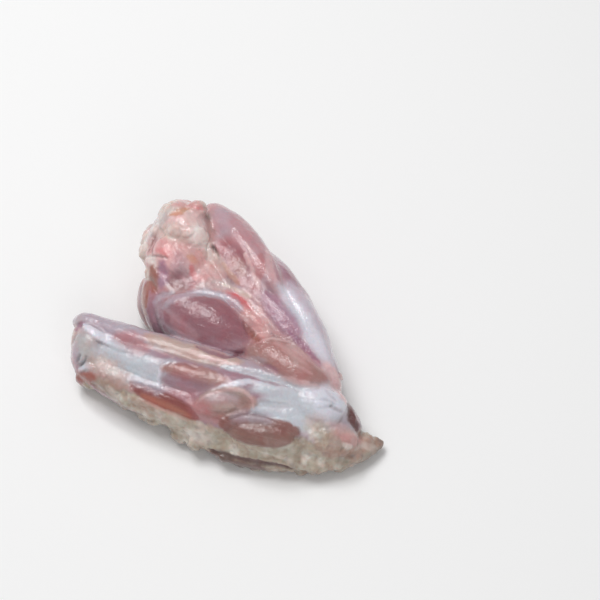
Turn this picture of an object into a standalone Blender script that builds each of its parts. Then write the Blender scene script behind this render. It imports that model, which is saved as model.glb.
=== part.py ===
# Raw chicken wing with its skin off: an upper arm and a forearm folded at the elbow,
# resting on a table. One piece of meat, so one solid: muscle bellies, fat and joints
# are laid along the two bones, fused, softened, and pressed flat where they lie.
# Lengths below are millimetres. The scene is in metres, +Z up, with the origin under the
# middle of the wing. The upper arm lies behind the forearm, and the elbow is at +X.

import math
import random

import bmesh
import bpy
from mathutils import Matrix, Vector

MM = 0.001

# Bones
ELBOW = Vector((32.1, -27.0, 0.0))
FOREARM_HEADING = 165.0
UPPER_ARM_HEADING = 131.0

# Fusing the meat into one body
VOXEL = 0.8
SOFTEN_PASSES = 4
SOFTEN_STRENGTH = 0.5
TRIANGLE_SHARE = 0.16
TABLE_BLOCK = 60.0

# Muscle bellies
RINGS = 15
SIDES = 18

# Lumps of fat: along the trailing edge of the forearm, and over the shoulder joint
FAT_SEED = 11
EDGE_LUMPS = 90
EDGE_LUMP_RADIUS = (1.7, 3.4)
EDGE_SCATTER = 1.7
SHOULDER_LUMPS = 34
SHOULDER_LUMP_RADIUS = (1.8, 3.6)

MEAT_COLOUR = (0.45, 0.26, 0.28, 1.0)
MEAT_ROUGHNESS = 0.35


class Limb:
    """A bone on the table: places are (along from the elbow, towards the near side, up)."""

    def __init__(self, heading):
        angle = math.radians(heading)
        self.ahead = Vector((math.cos(angle), math.sin(angle), 0.0))
        self.near = Vector((0.0, 0.0, 1.0)).cross(self.ahead)

    def place(self, along, near, up):
        return ELBOW + self.ahead * along + self.near * near + Vector((0.0, 0.0, up))


FOREARM = Limb(FOREARM_HEADING)
UPPER_ARM = Limb(UPPER_ARM_HEADING)

# Each belly: limb, three places that its middle line passes, width, thickness,
# bluntness of its ends (0.5 is an ellipsoid, less is blunter), and swell towards its end.
BELLIES = {
    # Forearm, from the elbow to the wrist
    "forearm_core": (FOREARM, (0, 3, 10), (36, 5, 9), (76, -2, 9), 21, 15, 0.3, -0.12),
    "wrist_extensor": (FOREARM, (4, -2, 13), (43, -2, 13), (82, -8, 11), 10, 13, 0.25, 0.0),
    "middle_extensor": (FOREARM, (4, 2, 13), (40, 4, 14), (75, -2, 11), 11, 12, 0.35, 0.0),
    "ulnar_flexor": (FOREARM, (2, 9, 8), (38, 11, 9), (73, 3, 9), 13, 14, 0.3, -0.1),
    "upper_oval": (FOREARM, (21, 7, 13), (30, 8, 14), (40, 8, 13), 9, 9, 0.5, 0.0),
    "lower_oval": (FOREARM, (7, 12, 9), (21, 13, 10), (34, 12, 10), 10, 11, 0.5, 0.0),
    "under_forearm": (FOREARM, (4, 15, 3), (24, 18, 4), (42, 14, 4), 9, 8, 0.45, 0.0),
    "forearm_base": (FOREARM, (0, 4, 4), (36, 4, 4), (68, 1, 5), 24, 12, 0.3, -0.1),
    "wrist_head": (FOREARM, (67, -1, 9), (73, -2, 9), (80, -3, 9), 18, 16, 0.4, 0.0),
    # Elbow
    "elbow_joint": (FOREARM, (-3, 2, 9), (6, 1, 10), (18, 1, 10), 18, 19, 0.45, 0.0),
    "elbow_flap": (FOREARM, (10, 9, 6), (-3, 6, 4), (-15, 3, 2), 15, 9, 0.5, -0.4),
    # Upper arm, from the elbow to the shoulder
    "humerus_core": (UPPER_ARM, (4, -1, 11), (37, -4, 13), (72, -4, 14), 18, 20, 0.35, 0.1),
    "biceps": (UPPER_ARM, (27, 5, 12), (43, 12, 13), (62, 16, 11), 18, 20, 0.42, 0.1),
    "biceps_sheath": (UPPER_ARM, (48, 21, 7), (60, 18, 10), (70, 10, 14), 12, 15, 0.42, 0.0),
    "deltoid": (UPPER_ARM, (30, -5, 17), (54, -12, 18), (74, -16, 15), 13, 16, 0.4, 0.15),
    "triceps": (UPPER_ARM, (3, -3, 11), (36, -14, 12), (57, -16, 12), 13, 20, 0.45, 0.1),
    "shoulder_bundle": (UPPER_ARM, (22, -1, 18), (43, -3, 21), (66, -5, 22), 8, 8, 0.4, 0.1),
    "brachialis": (UPPER_ARM, (3, 2, 13), (18, 6, 13), (32, 9, 12), 12, 14, 0.42, 0.1),
    "tendon_strip": (UPPER_ARM, (12, 1, 17), (29, 3, 18), (46, 4, 18), 7, 7, 0.4, 0.0),
    "shoulder_head": (UPPER_ARM, (62, 0, 17), (72, -1, 18), (82, -4, 15), 16, 21, 0.4, 0.0),
    "inner_shoulder": (UPPER_ARM, (48, 8, 12), (62, 8, 14), (76, 6, 13), 15, 17, 0.4, 0.0),
    "shoulder_cap": (UPPER_ARM, (82, -12, 13), (79, -1, 14), (71, 13, 12), 11, 19, 0.4, 0.0),
    "shoulder_saddle": (UPPER_ARM, (58, -7, 15), (69, -9, 15), (79, -11, 13), 10, 15, 0.4, 0.0),
    "under_upper_arm": (UPPER_ARM, (8, 0, 4), (42, 0, 5), (72, 0, 5), 28, 12, 0.35, 0.2),
    "shoulder_tag": (UPPER_ARM, (57, 21, 2), (64, 20, 4), (73, 13, 6), 7, 9, 0.42, 0.0),
}

# The line that the fat margin follows on the forearm, from the elbow's tip to the wrist.
EDGE_LINE = [
    FOREARM.place(*place)
    for place in ((-8, 6, 4), (-1, 11, 4), (10, 16, 4), (26, 18, 4), (43, 14, 5), (62, 8, 5), (74, 3, 5))
]

# The lines that the fat follows over the shoulder joint, from the upper side down to the near side.
SHOULDER_LINES = [
    [UPPER_ARM.place(*place) for place in line]
    for line in (
        ((79, -10, 19), (78, -3, 22), (75, 5, 20), (72, 12, 14)),
        ((72, -6, 24), (69, 1, 25), (66, 7, 22), (66, 14, 17)),
        ((80, -9, 12), (81, -1, 13), (76, 9, 12)),
    )
]


def curve_through(start, middle, end, share):
    """The point at share of a parabola that passes three places."""
    back = (1 - share) * (1 - 2 * share)
    return start * back + middle * 4 * share * (1 - share) + end * share * (2 * share - 1)


def add_belly(mesh, limb, start, middle, end, width, thickness, bluntness, swell):
    """Adds one closed muscle belly: oval rings along its middle line, with a point at each end."""
    places = [limb.place(*place) for place in (start, middle, end)]
    shares = [(1 - math.cos(math.pi * i / RINGS)) / 2 for i in range(RINGS + 1)]
    line = [curve_through(*places, share) for share in shares]
    first, last = mesh.verts.new(line[0]), mesh.verts.new(line[-1])
    rings = []
    for i in range(1, RINGS):
        heading = (line[i + 1] - line[i - 1]).normalized()
        side = heading.cross(Vector((0.0, 0.0, 1.0))).normalized()
        top = side.cross(heading)
        size = (4 * shares[i] * (1 - shares[i])) ** bluntness * (1 + swell * (2 * shares[i] - 1))
        ring = []
        for k in range(SIDES):
            turn = 2 * math.pi * k / SIDES
            across = side * math.cos(turn) * width + top * math.sin(turn) * thickness
            ring.append(mesh.verts.new(line[i] + across * size / 2))
        rings.append(ring)
    for k in range(SIDES):
        after = (k + 1) % SIDES
        mesh.faces.new((first, rings[0][after], rings[0][k]))
        mesh.faces.new((last, rings[-1][k], rings[-1][after]))
        for ring, ahead in zip(rings, rings[1:]):
            mesh.faces.new((ring[k], ring[after], ahead[after], ahead[k]))


def along_line(line, share):
    """The point at share of the way along a line of places."""
    position = share * (len(line) - 1)
    index = min(int(position), len(line) - 2)
    return line[index].lerp(line[index + 1], position - index)


def add_lumps(mesh, draw, line, count, radii, scatter):
    """Adds round lumps of uneven size, scattered close to a line."""
    for i in range(count):
        place = along_line(line, (i + draw.random()) / count)
        place += Vector([draw.uniform(-scatter, scatter) for _ in range(3)])
        lump = Matrix.Translation(place) @ Matrix.Scale(draw.uniform(*radii), 4)
        bmesh.ops.create_icosphere(mesh, subdivisions=2, radius=1.0, matrix=lump)


def add_fat(mesh):
    """Adds the fat and feather roots of the forearm's trailing edge, and the fat of the shoulder."""
    draw = random.Random(FAT_SEED)
    add_lumps(mesh, draw, EDGE_LINE, EDGE_LUMPS, EDGE_LUMP_RADIUS, EDGE_SCATTER)
    for line in SHOULDER_LINES:
        count = SHOULDER_LUMPS // len(SHOULDER_LINES)
        add_lumps(mesh, draw, line, count, SHOULDER_LUMP_RADIUS, EDGE_SCATTER)


def finished_object(name, mesh):
    """Makes an object of the shapes in mesh, brought from millimetres to metres."""
    bmesh.ops.scale(mesh, vec=(MM, MM, MM), verts=mesh.verts)
    bmesh.ops.recalc_face_normals(mesh, faces=mesh.faces)
    data = bpy.data.meshes.new(name)
    mesh.to_mesh(data)
    mesh.free()
    made = bpy.data.objects.new(name, data)
    bpy.context.scene.collection.objects.link(made)
    return made


def make_table_cutter():
    """The block under the table's surface, which presses the wing's underside flat."""
    mesh = bmesh.new()
    size = Matrix.Diagonal((4 * TABLE_BLOCK, 4 * TABLE_BLOCK, TABLE_BLOCK, 1.0))
    bmesh.ops.create_cube(mesh, size=1.0, matrix=Matrix.Translation((0, 0, -TABLE_BLOCK / 2)) @ size)
    cutter = finished_object("table_cutter", mesh)
    cutter.hide_render = True
    cutter.display_type = "WIRE"
    return cutter


def make_meat_material():
    material = bpy.data.materials.new("raw_meat")
    material.use_nodes = True
    shader = material.node_tree.nodes["Principled BSDF"]
    shader.inputs["Base Color"].default_value = MEAT_COLOUR
    shader.inputs["Roughness"].default_value = MEAT_ROUGHNESS
    shader.inputs["Metallic"].default_value = 0.0
    return material


def make_wing():
    """All the bellies and the fat, fused into one soft body that lies flat on the table."""
    mesh = bmesh.new()
    for belly in BELLIES.values():
        add_belly(mesh, *belly)
    add_fat(mesh)
    wing = finished_object("wing", mesh)
    wing.data.materials.append(make_meat_material())

    fuse = wing.modifiers.new("fuse", "REMESH")
    fuse.mode = "VOXEL"
    fuse.voxel_size = VOXEL * MM
    fuse.use_smooth_shade = True
    soften = wing.modifiers.new("soften", "SMOOTH")
    soften.factor = SOFTEN_STRENGTH
    soften.iterations = SOFTEN_PASSES
    thin_out = wing.modifiers.new("thin_out", "DECIMATE")
    thin_out.ratio = TRIANGLE_SHARE
    press = wing.modifiers.new("press_flat", "BOOLEAN")
    press.operation = "DIFFERENCE"
    press.solver = "EXACT"
    press.object = make_table_cutter()
    return wing


def main():
    for old in list(bpy.data.objects):
        bpy.data.objects.remove(old)
    make_wing()


main()
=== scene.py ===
# The looks of a raw chicken wing with its skin off: wet muscle under thin silverskin, with fat
# over the shoulder and along the forearm's trailing edge. The meat is laid along the two bones
# as in the solid that it replaces, then fused, sculpted and coloured.
# Lengths are millimetres in the meat's own tables, and metres where Blender's scene is meant.

import math
from dataclasses import dataclass
from typing import NamedTuple

import bmesh
import bpy
import numpy as np
from bpy.props import FloatProperty, FloatVectorProperty, IntProperty, PointerProperty
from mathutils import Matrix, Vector
from mathutils.bvhtree import BVHTree
from mathutils.noise import noise as perlin


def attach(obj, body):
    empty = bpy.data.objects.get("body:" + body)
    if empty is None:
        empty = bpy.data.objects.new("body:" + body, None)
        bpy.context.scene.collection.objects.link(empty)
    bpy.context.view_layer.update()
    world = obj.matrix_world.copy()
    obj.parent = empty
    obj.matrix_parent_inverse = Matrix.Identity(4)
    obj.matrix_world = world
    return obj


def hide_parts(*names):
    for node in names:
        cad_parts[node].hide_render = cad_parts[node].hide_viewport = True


bl_info = {
    "name": "Raw Chicken Wing",
    "version": (1, 0, 0),
    "blender": (4, 5, 0),
    "location": "3D View > Sidebar > Wing",
    "description": "Lays, sculpts and colours a raw chicken wing with its skin off",
    "category": "Add Mesh",
}

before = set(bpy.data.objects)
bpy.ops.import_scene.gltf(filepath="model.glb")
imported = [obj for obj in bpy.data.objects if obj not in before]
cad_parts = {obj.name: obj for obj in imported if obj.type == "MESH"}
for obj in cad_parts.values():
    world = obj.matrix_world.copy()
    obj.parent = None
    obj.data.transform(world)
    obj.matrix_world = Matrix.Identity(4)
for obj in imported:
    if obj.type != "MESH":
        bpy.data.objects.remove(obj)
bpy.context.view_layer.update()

MM = 0.001
WING_NODE = "wing"

# Bones
ELBOW = Vector((32.1, -27.0, 0.0))
FOREARM_HEADING = 165.0
UPPER_ARM_HEADING = 131.0

# The photograph's camera: the place on the table that its middle shows, how far and how high
# it stands, and how many of the photograph's pixels cover a millimetre there
PHOTO_SIZE = 600
LOOK_AT = Vector((20.4, 17.1, 0.0))
CAMERA_DISTANCE = 420.0
CAMERA_ELEVATION = 55.0
PIXELS_PER_MM = 3.3
SENSOR_WIDTH = 36.0


class Limb:
    """A bone on the table: places are (along from the elbow, towards the near side, up)."""

    def __init__(self, heading):
        angle = math.radians(heading)
        self.ahead = Vector((math.cos(angle), math.sin(angle), 0.0))
        self.near = Vector((0.0, 0.0, 1.0)).cross(self.ahead)

    def place(self, along, near, up):
        return ELBOW + self.ahead * along + self.near * near + Vector((0.0, 0.0, up))


FOREARM = Limb(FOREARM_HEADING)
UPPER_ARM = Limb(UPPER_ARM_HEADING)


class Belly(NamedTuple):
    """A muscle belly: its limb, the three places that its middle line passes, its width and
    thickness, the bluntness of its ends (0.5 is an ellipsoid, less is blunter), how much it
    swells towards its end, and its pigment."""

    limb: Limb
    start: tuple
    middle: tuple
    end: tuple
    width: float
    thickness: float
    bluntness: float
    swell: float
    pigment: str


def on_limb(kind, limb, rows):
    """Bellies or marks of one limb, or of neither, from each one's name and its other values."""
    return {name: kind(limb, *row) for name, row in rows.items()}


BELLIES = on_limb(Belly, FOREARM, {
    # Forearm, from the elbow to the wrist
    "forearm_core": ((0, 3, 10), (36, 5, 9), (76, -2, 9), 21, 15, 0.3, -0.12, "mauve"),
    "wrist_extensor": ((4, -2, 13), (43, -2, 13), (82, -8, 11), 10, 13, 0.25, 0, "lilac"),
    "middle_extensor": ((4, 2, 13), (40, 4, 14), (75, -2, 11), 11, 12, 0.35, 0, "mauve"),
    "ulnar_flexor": ((2, 9, 8), (40, 10.5, 9), (78, 3.5, 8), 13, 14, 0.3, -0.1, "mauve"),
    "upper_oval": ((24, 8, 13), (32.5, 9, 14), (42, 9, 13), 9, 9, 0.5, 0, "cocoa"),
    "lower_oval": ((6, 13, 8.5), (20, 14, 9.5), (32, 13, 9.5), 10, 11, 0.5, 0, "walnut"),
    # The underside's bellies take bark, painted shade that darkens the meat towards the table
    "under_forearm": ((4, 14, 3), (24, 16.5, 4), (42, 13, 4), 9, 8, 0.45, 0, "bark"),
    "forearm_base": ((0, 4, 4), (36, 4, 4), (68, 0.5, 5), 22.5, 12, 0.3, -0.12, "bark"),
    "wrist_head": ((67, -1, 9), (73, -2, 9), (80, -3, 9), 18, 16, 0.4, 0, "lilac"),
    "wrist_cartilage": ((76, -3.5, 9), (79, -3.5, 9), (81, -3.5, 9), 11, 11, 0.4, 0, "cream"),
    "wrist_stub": ((68, 5.5, 6), (73, 6, 5.5), (77, 6.5, 5), 6, 7.5, 0.35, 0, "rust"),
    # Elbow
    "elbow_joint": ((-2, 2, 9), (6, 2, 9.5), (18, 2, 9.5), 17, 18, 0.45, 0, "pearl"),
    "elbow_bridge": ((14, 6, 9), (4, 8, 8.5), (-6, 6, 6), 15, 11, 0.45, 0, "pearl"),
    "elbow_flap": ((12, 10, 6), (-2, 8, 4), (-13.5, 3, 2.5), 15, 8, 0.5, -0.6, "butter"),
})
BELLIES |= on_limb(Belly, UPPER_ARM, {
    # Upper arm, from the elbow to the shoulder
    "elbow_back": ((8, -1, 6), (0, 0, 7), (-7, 1.3, 4), 7, 9, 0.4, 0.3, "umber"),
    "shoulder_sheet": ((43, 5, 17), (57, 7, 18), (74, 5.5, 19.5), 20, 9, 0.35, 0, "blush"),
    "shoulder_slope": ((54, 6, 18), (63, 6, 20.5), (72, 5, 22.5), 15, 8.5, 0.35, 0, "petal"),
    "humerus_core": ((4, -1, 11), (37, -4, 13), (72, -4, 14), 18, 20, 0.35, 0.1, "mauve"),
    "biceps": ((27, 5, 12), (43, 12, 13), (62, 16, 11), 18, 20, 0.42, 0.1, "plum"),
    "biceps_sheath": ((49, 19.5, 7), (60, 16.5, 10), (70, 9, 14), 12, 15, 0.42, 0, "mauve"),
    "deltoid": ((30, -5, 17), (54, -10.5, 18), (76, -12.5, 16), 13, 16, 0.4, 0.06, "pink"),
    "triceps": ((3, -1, 11), (36, -10.5, 12), (57, -15.5, 12), 13, 20, 0.45, 0.1, "orchid"),
    "shoulder_bundle": ((24, -1, 17), (44, -4, 19.5), (66, -6, 20.5), 12, 8, 0.4, 0.1, "pink"),
    "brachialis": ((3, 1, 13), (18, 4.5, 13.5), (34, 8, 12.5), 16, 15, 0.42, 0.1, "salmon"),
    "tendon_strip": ((26, 1, 17), (38, 3, 18), (50, 4, 18.5), 7, 7, 0.4, 0, "blush"),
    "shoulder_head": ((62, 0, 17), (71, -1, 18), (80.5, -4, 15), 16, 21, 0.4, 0, "cream"),
    "inner_shoulder": ((48, 8, 12), (62, 9, 13), (76, 6, 13), 15, 15, 0.4, 0, "blush"),
    "shoulder_cap": ((80.5, -11, 13), (77.5, -1, 14), (71, 12, 12), 11, 19, 0.4, 0, "cream"),
    "shoulder_flap": ((82, 1, 14), (80.8, 5, 12.5), (79, 8, 10), 4, 10, 0.4, 0, "cream"),
    "shoulder_saddle": ((58, -7, 15), (69, -9, 15), (79, -11, 13), 10, 15, 0.4, 0, "blush"),
    # Bark on this belly is painted shade of the underside
    "under_upper_arm": ((8, 0, 4), (42, 0, 5), (72, 0, 5), 28, 12, 0.35, 0.2, "bark"),
    "shoulder_tag": ((57, 19.5, 4), (64, 18.5, 5.5), (73, 12, 7.5), 7, 9, 0.42, 0, "rust"),
})
RINGS = 33
SIDES = 32
LEAST_SIZE = 0.03

# What keeps a belly's ends from being points when distances to it are measured
LEAST_ROUNDNESS = 0.1
TINY = 1e-6

# How widely the valleys between bellies are smoothed over, how far they are filled, and the
# distance between the limbs at which the filling starts and is full
VALLEY_PASSES = 110
VALLEY_FILL = 0.75
LIMB_GAP = (0.5, 3.5)

# Fusing: how soft the fused skin gets, and how many times it is softened
SOFTEN_STRENGTH = 0.5
SOFTEN_PASSES = 3

# How often the skin is looked over for places where it passes through itself, how far round
# them it is smoothed, how that fades in with nearness, and how much it is smoothed
UNTANGLE_ROUNDS = 6
UNTANGLE_REACH = 4
UNTANGLE_FADE = (0.0, 0.1)
UNTANGLE_PASSES = 6

# Noise: how far one seed lies from the next, and what brings it to about -1 to 1. Rough noise: its
# layers, how much finer and fainter each is than the one before, and what brings their sum to the
# same range.
SEED_SHIFT = 17.3
NOISE_GAIN = 1.4
NOISE_LAYERS = 3
FINER = 2.1
FAINTER = 1.8
LAYER_GAIN = 1.3

# Each noise in the meat: the size of its lumps, and its seed
UNEVEN = (2.4, 5)
UNEVEN_FINE = (0.9, 6)
LARGE_LOBULES = (3.6, 7)
SMALL_LOBULES = (1.7, 8)
SILVERSKIN = (15.0, 21)
SILVER_STREAKS = (1.6, 22)
SEAMS = (4.0, 23)

# The lumps of the noises whose seed a user sets, and the heights of the last two
CREASE_BREAKS = 6.0
BUNDLES = 1.8
SWELLINGS = 8.0
DENTS = 2.6
SWELLING_HEIGHT = 0.33
DENT_HEIGHT = 0.08

# How much shorter a noise sees the fibres than they are, so that its lumps lie along them
BUNDLE_STRETCH = np.array((0.12, 1.0, 1.0))
STREAK_STRETCH = np.array((0.14, 0.8, 0.8))

# What keeps the noise of one belly apart from that of the next, and how softly their colours meet
FIBRE_SHIFT = np.array((31.0, 17.0, 7.0))
BLEND_WIDTH = 1.3

# A mark's places lie this far apart, and need this share of the mark's own limb. It fades out
# between these two shares. Its edge, where none is given, is this share of its width, and never
# narrower than the least edge.
MARK_SPACING = 1.5
LEAST_LIMB_SHARE = 0.3
LIMB_FADE = (0.2, 0.7)
EDGE_SHARE = 0.45
LEAST_EDGE = 0.7

# How much the larger and the finer noise count in the meat's unevenness and in its lobules
UNEVEN_SHARES = (0.7, 0.5)
LOBULE_SHARES = (1.3, 0.8)

# How near a lump of fat the meat is fat at all, and fat throughout, and how uneven that edge is
FAT_REACH = (1.0, 0.2)
FAT_UNEVENNESS = 0.3

# A furrow's depth: its plain share, how much noise changes it, and how much of it fat fills
FURROW_SHARE = 0.6
FURROW_BREAKS = 0.4
FURROW_FILLING = 0.6

# The line that the fat margin follows on the forearm, from the elbow's tip to the wrist
EDGE_LINE = [
    FOREARM.place(*place)
    for place in (
        (-8, 6, 4), (-1, 11, 4), (10, 16, 4), (26, 18, 4), (43, 14, 5), (62, 8, 4), (74, 4.5, 4)
    )
]

# The lines that the fat follows over the shoulder joint, from the upper side to the near side
SHOULDER_LINES = [
    [UPPER_ARM.place(*place) for place in line]
    for line in (
        ((78, -9, 16), (77, -3, 20), (75, 4, 19), (73, 9, 14)),
        ((72, -6, 24), (69, 1, 25), (66, 7, 22), (66, 14, 17)),
        ((79, -8, 12), (79, -1, 13), (77, 4, 13)),
    )
]

# How fatty, and how far under silverskin, the surface is where a pigment covers it
FATTINESS = {
    "butter": 1.0, "tallow": 1.0, "clay": 0.9, "cream": 0.7, "ivory": 0.25, "ash": 0.3, "peach": 0.15
}
SILVERINESS = {"pearl": 1.0, "frost": 1.0, "lilac": 0.7, "petal": 0.5}

# How far the pigments that come before the marks cover: silverskin, the pale seams, and umber
# laid as painted shade in the creases between bellies, with the width of each; and bark laid as
# painted shade on the underside, darker towards the bottom, with the heights between which it
# fades in and how uneven that fade is. A range holds the noise at which a pigment starts and is full.
SILVERSKIN_COVER = 0.45
SILVERSKIN_RANGE = (-0.1, 0.7)
STREAK_RANGE = (-0.6, 0.5)
PALE_SEAM = (0.25, 0.9)
PALE_SEAM_RANGE = (-0.2, 0.6)
PAINTED_SEAM_SHADE = (0.4, 0.6)
PAINTED_SEAM_SHADE_RANGE = (0.0, -0.5)
UNDERSIDE_SHADE_COVER = 0.6
UNDERSIDE_SHADE_FADE = (6.0, 1.0)
UNDERSIDE_SHADE_UNEVENNESS = 1.5

# How far two pigments cover the fat: clay as painted shade in the hollows between its lobules,
# and bark as painted shade where it turns under, darker towards the bottom
LOBULE_HOLLOW_SHADE = 0.4
LOBULE_HOLLOW_SHADE_RANGE = (0.4, 0.1)
UNDER_FAT_SHADE = 0.55
UNDER_FAT_SHADE_FADE = (6.0, 1.5)
UNDER_FAT_SHADE_UNEVENNESS = 1.2


@dataclass
class Blotches:
    """Blotches over the fat: their pigment and cover, the noise at which they start and are full,
    the noise's lumps and seed, and the limb that they keep to."""

    pigment: str
    cover: float
    start: float
    full: float
    lumps: float
    seed: int
    limb: Limb | None = None


FAT_BLOTCHES = (
    Blotches("ivory", 0.45, 0.1, 0.7, 3.0, 26),
    Blotches("slate", 0.35, 0.35, 0.75, 1.8, 27),
    Blotches("tallow", 0.5, 0.0, 0.6, 5.0, 24, FOREARM),
    Blotches("blush", 0.35, -0.2, 0.8, 5.0, 25, UPPER_ARM),
)


@dataclass
class Mark:
    """A patch, streak, ridge or groove: the limb it stays on, the photograph's pixels along its
    middle, its width, pigment and cover, and how far it stands out, how soft and how ragged its
    edge is, and how blunt its ends are (0 is blunt)."""

    limb: Limb | None
    pixels: tuple
    width: float
    pigment: str
    cover: float = 0.85
    height: float = 0.0
    edge: float = 0.0
    ragged: float = 0.6
    taper: float = 0.3

    def softness(self):
        """Width of the edge, which is a share of the mark's own width where none is given."""
        return self.edge or max(LEAST_EDGE, EDGE_SHARE * self.width)


MARKS = {}
MARKS |= on_limb(Mark, FOREARM, {
    # Forearm: its upper ridge, from the wrist to the elbow
    "ridge at the wrist": (((88, 316), (110, 322), (140, 332), (165, 342)), 7, "lilac"),
    "ridge in the middle": (((146, 336), (185, 349), (215, 357), (240, 361)), 5.5, "peach", 0.9),
    "pale edge of the ridge": (((200, 356), (220, 361), (238, 364)), 1.5, "petal", 0.7, 0.05),
    "line below the ridge": (((135, 340), (155, 350), (172, 358)), 1.1, "petal", 0.5, 0.03),
    "mauve below the ridge": (((143, 351), (156, 355), (168, 358)), 2.6, "mauve"),
    # Wrist
    "wrist grey": (((79, 337), (88, 342), (98, 347)), 8, "ash", 0.8),
    "wrist hollow": (((84, 350), (88, 360), (92, 368)), 7, "ash", 0.7, -0.3),
    "wrist rim": (((76, 330), (78, 325), (84, 323)), 1.5, "magenta", 0.7, -0.3),
    # Painted shade: slate darkens the wrist's two folds
    "wrist fold": (((79, 355), (77, 361)), 0.9, "slate", 0.7, -0.5),
    "wrist lower fold": (((80, 366), (84, 362), (86, 357)), 0.9, "slate", 0.8, -0.5),
    "wrist ridge": (((80, 370), (86, 366), (92, 368)), 1.6, "frost", 0.7, 0.5),
    "wrist tendon": (((84, 325), (96, 333), (110, 341), (126, 350)), 3, "frost", 1, 0.5, 0.8, 0.2),
    "vein under the tendon": (((97, 341), (108, 346), (119, 351), (131, 354)), 0.9, "slate", 1, -0.3),
    # Upper side of the forearm
    "pink patch": (((118, 338), (131, 343), (143, 350)), 6.2, "rose", 0.75),
    "pink patch, lower end": (((127, 353), (134, 356), (141, 355)), 2.6, "rose", 0.9, -0.1),
    "blue fascia": (((98, 352), (112, 358), (132, 368), (160, 374)), 9.5, "pearl", 0.9),
    "blue fascia, lower edge": (((120, 376), (140, 378), (158, 382)), 5, "pearl", 0.85),
    "fascia crease": (((170, 362), (163, 367), (159, 377), (158, 387)), 1.3, "frost", 0.9, 0.25),
    "orange patch": (((166, 368), (185, 371), (205, 375), (223, 380)), 5, "salmon", 1),
    "orange patch, top line": (((172, 364), (186, 364), (199, 369)), 0.8, "brick", 0.5, -0.2),
    "mauve band": (((164, 378), (185, 384), (208, 389)), 5.5, "plum_dark", 0.5),
    "rose under the band": (((168, 392), (185, 396), (200, 405), (212, 414)), 6.5, "mauve", 0.8),
    "cocoa by the ovals": (((190, 404), (205, 413), (225, 420)), 4.5, "cocoa", 0.6),
    "band towards the elbow": (((224, 371), (245, 375), (262, 380)), 3.4, "mauve", 0.9),
    "pale band above it": (((222, 366), (250, 372), (280, 381), (312, 391)), 2.4, "pearl", 0.8, 0.1),
    "mauve line": (((245, 380), (268, 386), (286, 388)), 1.2, "mauve", 0.8),
    "silverskin edge": (
        ((213, 390), (228, 386), (243, 382), (251, 381), (263, 385), (276, 388), (292, 389)),
        1.8, "frost", 0.85, 0.18
    ),
    "silverskin by the ovals": (((256, 389), (280, 393), (302, 396)), 4.5, "pearl", 0.85),
    "mauve under silverskin": (((254, 396), (270, 398), (284, 399)), 2.8, "mauve", 0.55),
    "silverskin towards the elbow": (((257, 408), (285, 408), (315, 408)), 8.5, "pearl", 0.95),
    "silverskin corner": (((278, 416), (300, 424), (306, 430)), 4.5, "pearl", 0.8),
    # The two ovals
    "upper oval": (((199, 405), (225, 402), (251, 402)), 8.4, "cocoa", 0.95, 0.4, 1.2, 0.2),
    # Painted sheen: a lilac reflection along the top of the upper oval
    "upper oval, sheen": (((206, 398), (220, 396), (236, 399)), 3.5, "lilac", 0.45, 0, 2.5),
    "upper oval, brown end": (((243, 399), (247, 408)), 3, "walnut", 0.5),
    "upper oval, lower side": (((204, 413), (225, 416), (240, 412)), 2.6, "walnut", 0.6),
    "upper oval, rim": (
        ((196, 404), (209, 395), (228, 390), (243, 391), (252, 399), (253, 408)), 0.9, "petal", 0.5, 0.15
    ),
    # Fat along the trailing edge
    "fat at the wrist": (((93, 361), (106, 373), (119, 386), (130, 398)), 8, "peach", 0.7, 0, 4, 1.4),
    "brown at the wrist": (((102, 380), (116, 388), (128, 394)), 3.6, "clay", 0.6, -0.2, 2, 1.2),
})
MARKS |= on_limb(Mark, None, {
    "fat at the wrist, lower side": (
        ((96, 384), (110, 394), (126, 404), (142, 412)), 5.5, "tallow", 0.7, 0, 3, 1.4
    ),
})
MARKS |= on_limb(Mark, FOREARM, {
    "pale fat at the wrist": (((98, 360), (108, 366), (118, 374)), 3, "ivory", 0.4, 0, 2, 1.4),
})
MARKS |= on_limb(Mark, None, {
    "fat margin": (
        ((118, 396), (150, 411), (190, 430), (230, 444), (265, 451), (300, 453), (340, 458), (362, 452)),
        9.5, "butter", 0.95, 0, 1.2, 0.8
    ),
})
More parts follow.
